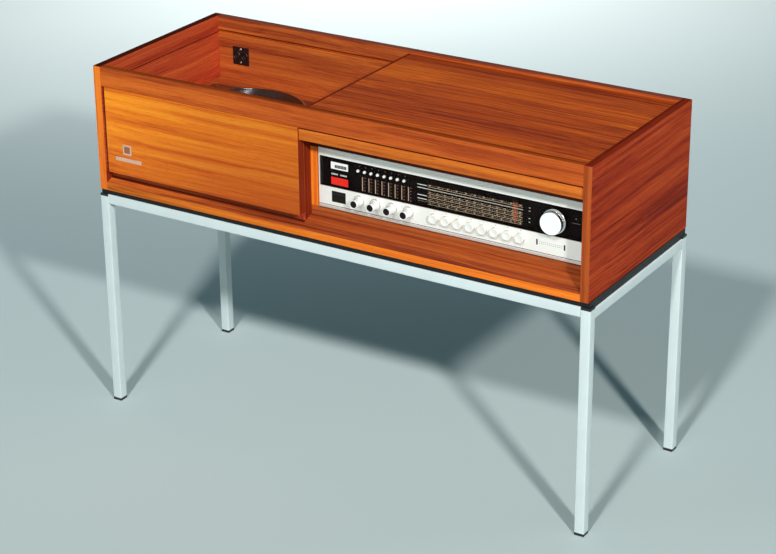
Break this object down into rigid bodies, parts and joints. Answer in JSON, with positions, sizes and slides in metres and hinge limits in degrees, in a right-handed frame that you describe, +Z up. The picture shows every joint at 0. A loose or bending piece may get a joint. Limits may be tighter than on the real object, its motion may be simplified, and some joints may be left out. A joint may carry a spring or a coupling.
{
  "type": "music center",
  "caption": "Walnut radio and record player cabinet on a square tube frame: dial and controls in a recess at the right, turntable under a sliding lid at the left.",
  "frame": {"origin": "floor level under the centre of the bounding box", "axes": "+X to the right along the cabinet as seen from the front, +Y from the front to the back, +Z up"},
  "size_m": [1.108, 0.412, 0.738],
  "materials": {
    "walnut": "satin lacquered walnut veneer, fine straight grain",
    "dark_board": "dark stained board",
    "black_lacquer": "satin black lacquer on wood",
    "frame_paint": "smooth pale grey enamel on square steel tube",
    "black_plastic": "moulded black plastic",
    "zinc_steel": "zinc plated sheet steel",
    "core_steel": "varnished core sheets and winding",
    "silver_fascia": "fine satin aluminium with bright edges",
    "dial_glass": "black printed dial glass",
    "lens_plastic": "red lens, blank white plate and dark meter window",
    "board_green": "circuit board with its components",
    "deck_paint": "dark brown hammered paint",
    "bright_metal": "bright nickel plate",
    "cast_aluminium": "turned aluminium with a polished rim",
    "black_rubber": "ribbed black rubber",
    "orange_plastic": "orange dial pointer",
    "knob_metal": "turned aluminium knob",
    "ivory_plastic": "glossy off-white plastic"
  },
  "bodies": {
    "cabinet": {"side_panels": "walnut", "back_panel": "walnut", "bottom_board": "dark_board", "bottom_rail": "walnut", "top_rail": "walnut", "front_panel": "walnut", "inner_front_wall": "walnut", "partition": "walnut", "fixed_top": "walnut", "radio_surround": "walnut", "plinth": "black_lacquer", "legs": "frame_paint", "frame_rails": "frame_paint", "tube_caps": "black_plastic", "frame_screws": "zinc_steel", "rear_cover": "dark_board", "socket_plates": "black_plastic", "receiver_chassis": "zinc_steel", "fascia_plate": "silver_fascia", "dial_glass": "dial_glass", "fascia_windows": "lens_plastic", "circuit_board": "board_green", "power_transformer": "core_steel", "deck_board": "walnut", "player_plate": "deck_paint", "spindle": "bright_metal", "motor": "zinc_steel", "arm_pedestal": "bright_metal"},
    "lid": {"lid": "walnut"},
    "platter": {"platter": "cast_aluminium", "platter_mat": "black_rubber"},
    "idler_wheel": {"idler_wheel": "black_rubber"},
    "motor_pulley": {"motor_pulley": "bright_metal"},
    "arm_swivel": {"arm_swivel": "bright_metal"},
    "tonearm": {"tonearm": "bright_metal", "headshell": "black_plastic"},
    "speed_lever": {"speed_lever": "black_plastic"},
    "start_lever": {"start_lever": "bright_metal"},
    "dial_pointer": {"dial_pointer": "orange_plastic"},
    "tuning_knob": {"tuning_knob": "knob_metal"},
    "control_knob_1": {"control_knob_1": "knob_metal"},
    "control_knob_2": {"control_knob_2": "knob_metal"},
    "control_knob_3": {"control_knob_3": "knob_metal"},
    "control_knob_4": {"control_knob_4": "knob_metal"},
    "push_button_1": {"push_button_1": "ivory_plastic"},
    "push_button_2": {"push_button_2": "ivory_plastic"},
    "push_button_3": {"push_button_3": "ivory_plastic"},
    "push_button_4": {"push_button_4": "ivory_plastic"},
    "push_button_5": {"push_button_5": "ivory_plastic"},
    "push_button_6": {"push_button_6": "ivory_plastic"},
    "push_button_7": {"push_button_7": "ivory_plastic"},
    "push_button_8": {"push_button_8": "ivory_plastic"},
    "preset_knob_1": {"preset_knob_1": "ivory_plastic"},
    "preset_knob_2": {"preset_knob_2": "ivory_plastic"},
    "preset_knob_3": {"preset_knob_3": "ivory_plastic"},
    "preset_knob_4": {"preset_knob_4": "ivory_plastic"},
    "preset_knob_5": {"preset_knob_5": "ivory_plastic"},
    "preset_knob_6": {"preset_knob_6": "ivory_plastic"},
    "preset_knob_7": {"preset_knob_7": "ivory_plastic"},
    "preset_knob_8": {"preset_knob_8": "ivory_plastic"}
  },
  "joints": [
    {"name": "lid_slide", "type": "slide", "parent": "cabinet", "child": "lid", "axis": [-1, 0, 0], "range_m": [0, 0.4577]},
    {"name": "platter_spin", "type": "hinge", "parent": "cabinet", "child": "platter", "pos_m": [-0.335, -0.016, 0.62], "axis": [0, 0, -1], "continuous": true},
    {"name": "idler_spin", "type": "hinge", "parent": "cabinet", "child": "idler_wheel", "pos_m": [-0.40551, 0.06803, 0.6145], "axis": [0, 0, -1], "continuous": true},
    {"name": "pulley_spin", "type": "hinge", "parent": "cabinet", "child": "motor_pulley", "pos_m": [-0.39182, 0.05172, 0.6145], "axis": [0, 0, -1], "continuous": true},
    {"name": "arm_swing", "type": "hinge", "parent": "cabinet", "child": "arm_swivel", "pos_m": [-0.1505, 0.114, 0.62], "axis": [0, 0, -1], "range_deg": [0, 42]},
    {"name": "arm_lift", "type": "hinge", "parent": "arm_swivel", "child": "tonearm", "pos_m": [-0.1505, 0.114, 0.644], "axis": [-1, 0, 0], "range_deg": [0, 8]},
    {"name": "speed_turn", "type": "hinge", "parent": "cabinet", "child": "speed_lever", "pos_m": [-0.1875, -0.1225, 0.61], "axis": [0, 0, 1], "range_deg": [-25, 25]},
    {"name": "start_turn", "type": "hinge", "parent": "cabinet", "child": "start_lever", "pos_m": [-0.2295, -0.1225, 0.61], "axis": [0, 0, 1], "range_deg": [0, 25], "stiffness_Nm_per_rad": 0.05},
    {"name": "tuning_turn", "type": "hinge", "parent": "cabinet", "child": "tuning_knob", "pos_m": [0.457, -0.165, 0.6025], "axis": [0, -1, 0], "range_deg": [-216, 1944]},
    {"name": "pointer_slide", "type": "slide", "parent": "cabinet", "child": "dial_pointer", "axis": [-1, 0, 0], "range_m": [-0.0202, 0.1803]},
    {"name": "control_turn_1", "type": "hinge", "parent": "cabinet", "child": "control_knob_1", "pos_m": [0.041, -0.165, 0.5555], "axis": [0, 1, 0], "range_deg": [0, 300]},
    {"name": "control_turn_2", "type": "hinge", "parent": "cabinet", "child": "control_knob_2", "pos_m": [0.0773, -0.165, 0.5555], "axis": [0, 1, 0], "range_deg": [-150, 150]},
    {"name": "control_turn_3", "type": "hinge", "parent": "cabinet", "child": "control_knob_3", "pos_m": [0.1136, -0.165, 0.5555], "axis": [0, 1, 0], "range_deg": [-150, 150]},
    {"name": "control_turn_4", "type": "hinge", "parent": "cabinet", "child": "control_knob_4", "pos_m": [0.1499, -0.165, 0.5555], "axis": [0, 1, 0], "range_deg": [-150, 150]},
    {"name": "button_press_1", "type": "slide", "parent": "cabinet", "child": "push_button_1", "axis": [0, 1, 0], "range_m": [0, 0.004], "stiffness_N_per_m": 250},
    {"name": "button_press_2", "type": "slide", "parent": "cabinet", "child": "push_button_2", "axis": [0, 1, 0], "range_m": [0, 0.004], "stiffness_N_per_m": 250},
    {"name": "button_press_3", "type": "slide", "parent": "cabinet", "child": "push_button_3", "axis": [0, 1, 0], "range_m": [0, 0.004], "stiffness_N_per_m": 250},
    {"name": "button_press_4", "type": "slide", "parent": "cabinet", "child": "push_button_4", "axis": [0, 1, 0], "range_m": [0, 0.004], "stiffness_N_per_m": 250},
    {"name": "button_press_5", "type": "slide", "parent": "cabinet", "child": "push_button_5", "axis": [0, 1, 0], "range_m": [0, 0.004], "stiffness_N_per_m": 250},
    {"name": "button_press_6", "type": "slide", "parent": "cabinet", "child": "push_button_6", "axis": [0, 1, 0], "range_m": [0, 0.004], "stiffness_N_per_m": 250},
    {"name": "button_press_7", "type": "slide", "parent": "cabinet", "child": "push_button_7", "axis": [0, 1, 0], "range_m": [0, 0.004], "stiffness_N_per_m": 250},
    {"name": "button_press_8", "type": "slide", "parent": "cabinet", "child": "push_button_8", "axis": [0, 1, 0], "range_m": [0, 0.004], "stiffness_N_per_m": 250},
    {"name": "preset_turn_1", "type": "hinge", "parent": "cabinet", "child": "preset_knob_1", "pos_m": [0.042, -0.165, 0.618], "axis": [0, 1, 0], "range_deg": [-720, 720]},
    {"name": "preset_turn_2", "type": "hinge", "parent": "cabinet", "child": "preset_knob_2", "pos_m": [0.05645, -0.165, 0.618], "axis": [0, 1, 0], "range_deg": [-720, 720]},
    {"name": "preset_turn_3", "type": "hinge", "parent": "cabinet", "child": "preset_knob_3", "pos_m": [0.0709, -0.165, 0.618], "axis": [0, 1, 0], "range_deg": [-720, 720]},
    {"name": "preset_turn_4", "type": "hinge", "parent": "cabinet", "child": "preset_knob_4", "pos_m": [0.08535, -0.165, 0.618], "axis": [0, 1, 0], "range_deg": [-720, 720]},
    {"name": "preset_turn_5", "type": "hinge", "parent": "cabinet", "child": "preset_knob_5", "pos_m": [0.0998, -0.165, 0.618], "axis": [0, 1, 0], "range_deg": [-720, 720]},
    {"name": "preset_turn_6", "type": "hinge", "parent": "cabinet", "child": "preset_knob_6", "pos_m": [0.11425, -0.165, 0.618], "axis": [0, 1, 0], "range_deg": [-720, 720]},
    {"name": "preset_turn_7", "type": "hinge", "parent": "cabinet", "child": "preset_knob_7", "pos_m": [0.1287, -0.165, 0.618], "axis": [0, 1, 0], "range_deg": [-720, 720]},
    {"name": "preset_turn_8", "type": "hinge", "parent": "cabinet", "child": "preset_knob_8", "pos_m": [0.14315, -0.165, 0.618], "axis": [0, 1, 0], "range_deg": [-720, 720]}
  ],
  "couplings": [
    {"joint": "idler_spin", "follows": "platter_spin", "ratio": 7.1111},
    {"joint": "pulley_spin", "follows": "platter_spin", "ratio": -42.667},
    {"joint": "pointer_slide", "follows": "tuning_turn", "m_per_rad": 0.005305}
  ]
}
